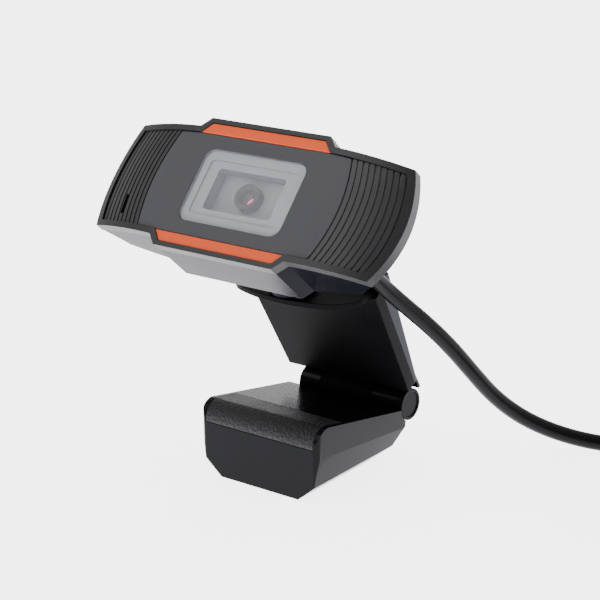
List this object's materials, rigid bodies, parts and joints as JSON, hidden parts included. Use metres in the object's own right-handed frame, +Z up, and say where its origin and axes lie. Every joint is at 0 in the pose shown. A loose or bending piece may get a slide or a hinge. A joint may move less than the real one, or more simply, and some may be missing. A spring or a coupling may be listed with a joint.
{
  "type": "webcam on folding clip stand",
  "caption": "Wide webcam with ribbed wings and a frosted window, tilting and swivelling on a folding clip stand, with its USB lead.",
  "frame": {"origin": "on the table, in the middle of the jaw's flat underside", "axes": "+Z up, the front of the camera towards -Y, +X to the right of someone who faces the front"},
  "size_m": [0.1802, 0.1026, 0.0925],
  "materials": {
    "bezel": "satin black",
    "face": "matt dark grey",
    "ribs": "satin black",
    "trim": "satin copper orange",
    "window": "frosted translucent",
    "surround": "satin grey",
    "optic": "coated glass",
    "filter": "coated glass",
    "module": "matt black",
    "board": "green solder mask",
    "chip": "matt black",
    "steel": "bright",
    "shell": "gloss black",
    "rubber": "matt black",
    "cord": "satin black jacket",
    "plug_metal": "bright",
    "tongue": "white",
    "contacts": "gilt"
  },
  "bodies": {
    "head": {"front_bezel": "bezel", "face_panel": "face", "trim_top": "trim", "trim_bottom": "trim", "rib_panel_left": "ribs", "rib_panel_right": "ribs", "window_cover": "window", "lens_surround": "surround", "lens_barrel": "module", "front_lens": "optic", "lens_holder": "module", "infrared_filter": "filter", "image_sensor": "chip", "circuit_board": "board", "interface_chip": "chip", "board_screws": "steel", "board_pillars": "module", "microphone_capsule": "steel", "microphone_boot": "rubber", "rear_shell": "shell", "shell_screws": "steel", "strain_relief": "cord", "tilt_pin": "steel", "cable": "cord", "cable_coil": "cord", "cable_tail": "cord", "plug_grip": "cord", "plug_shell": "plug_metal", "plug_tongue": "tongue", "plug_contacts": "contacts"},
    "neck": {"swivel_neck": "shell", "swivel_washer": "steel", "swivel_screw": "steel"},
    "arm": {"arm_plate": "bezel", "arm_cover": "shell", "arm_screws": "steel", "friction_washers": "steel"},
    "jaw": {"jaw_shell": "shell", "jaw_pad": "rubber", "jaw_base": "shell", "jaw_screws": "steel", "hinge_pin": "steel", "hinge_cap": "shell"}
  },
  "joints": [
    {"name": "head_tilt", "type": "hinge", "parent": "head", "child": "neck", "pos_m": [0, -0.00022, 0.06001], "axis": [1, 0, 0], "range_deg": [-33, 15], "deforming": ["cable"]},
    {"name": "head_swivel", "type": "hinge", "parent": "neck", "child": "arm", "pos_m": [0, -0.00022, 0.06001], "axis": [0, -0.0872, 0.9962], "range_deg": [-35, 35]},
    {"name": "clip_fold", "type": "hinge", "parent": "arm", "child": "jaw", "pos_m": [0, 0.026, 0.014], "axis": [1, 0, 0], "range_deg": [-40, 80]}
  ]
}
